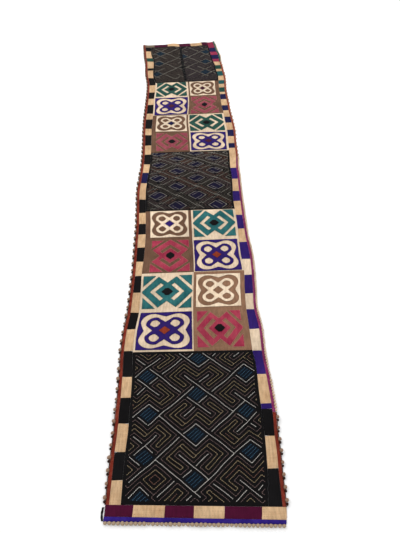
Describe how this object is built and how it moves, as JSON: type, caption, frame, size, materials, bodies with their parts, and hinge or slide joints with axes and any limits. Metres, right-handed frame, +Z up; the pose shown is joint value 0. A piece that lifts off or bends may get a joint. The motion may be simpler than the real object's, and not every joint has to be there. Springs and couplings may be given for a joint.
{
  "type": "kuba raffia cloth",
  "caption": "Long raffia dress strip laid out flat: embroidered black panels, appliqued knot and star blocks, patchwork border, bound edges with small bobbles.",
  "frame": {"origin": "middle of the outline of the laid-out cloth, on the surface it lies on", "axes": "+Y along the strip from the near hem to the far hem, +X to the right seen from above with the near hem towards the viewer, +Z up out of the face of the cloth"},
  "size_m": [0.6412, 3.3146, 0.016],
  "materials": {
    "panel_cloth": "black-dyed raffia cut and linear embroidery, matt",
    "beige_raffia": "undyed plain-weave raffia, matt",
    "brown_raffia": "brown-dyed plain-weave raffia, matt",
    "blue_applique": "blue-violet dyed applique cloth, stitched edge",
    "green_applique": "blue-green dyed applique cloth, stitched edge",
    "pink_applique": "crimson-pink dyed applique cloth, pale stitched edge",
    "black_applique": "black dyed applique cloth",
    "border_patches": "patchwork of undyed, black, blue and green raffia",
    "hem_patches": "patchwork of wine-red and undyed raffia",
    "red_binding": "red-orange wrapped edge binding",
    "magenta_binding": "magenta wrapped edge binding",
    "teal_binding": "blue-green wrapped edge binding",
    "blue_binding": "violet-blue hem binding",
    "bobble_raffia": "undyed raffia knotted into small bobbles"
  },
  "bodies": {
    "root": {"binding_left": "red_binding", "binding_near": "blue_binding", "binding_right_magenta": "magenta_binding", "binding_right_orange": "red_binding", "binding_right_red": "red_binding", "binding_right_teal": "teal_binding", "bobbles_left_far": "bobble_raffia", "bobbles_left_middle": "bobble_raffia", "bobbles_left_near": "bobble_raffia", "bobbles_near": "bobble_raffia", "bobbles_right": "bobble_raffia", "border_left": "border_patches", "border_right": "border_patches", "eye_far_left_1": "black_applique", "eye_far_left_4": "black_applique", "eye_far_right_2": "black_applique", "eye_far_right_3": "black_applique", "eye_near_left_2": "black_applique", "eye_near_left_3": "black_applique", "eye_near_right_1": "black_applique", "eye_near_right_4": "black_applique", "frame_far_left_2": "beige_raffia", "frame_far_left_3": "blue_applique", "frame_far_right_1": "blue_applique", "frame_far_right_4": "beige_raffia", "frame_near_left_1": "blue_applique", "frame_near_left_4": "beige_raffia", "frame_near_right_2": "beige_raffia", "frame_near_right_3": "blue_applique", "ground_far_left_1": "brown_raffia", "ground_far_left_2": "beige_raffia", "ground_far_right_1": "beige_raffia", "ground_far_right_2": "brown_raffia", "ground_near_left_1": "beige_raffia", "ground_near_left_2": "brown_raffia", "ground_near_right_1": "brown_raffia", "ground_near_right_2": "beige_raffia", "hem_far": "hem_patches", "hem_near": "hem_patches", "loops_far_left_2": "beige_raffia", "loops_far_left_3": "blue_applique", "loops_far_right_1": "blue_applique", "loops_far_right_4": "beige_raffia", "loops_near_left_1": "blue_applique", "loops_near_left_4": "beige_raffia", "loops_near_right_2": "beige_raffia", "loops_near_right_3": "blue_applique", "panel_far_left": "panel_cloth", "panel_far_right": "panel_cloth", "panel_middle": "panel_cloth", "panel_near": "panel_cloth", "star_far_left_1": "pink_applique", "star_far_left_4": "green_applique", "star_far_right_2": "green_applique", "star_far_right_3": "pink_applique", "star_near_left_2": "green_applique", "star_near_left_3": "pink_applique", "star_near_right_1": "pink_applique", "star_near_right_4": "green_applique", "tail_near_left": "panel_cloth"}
  },
  "joints": []
}
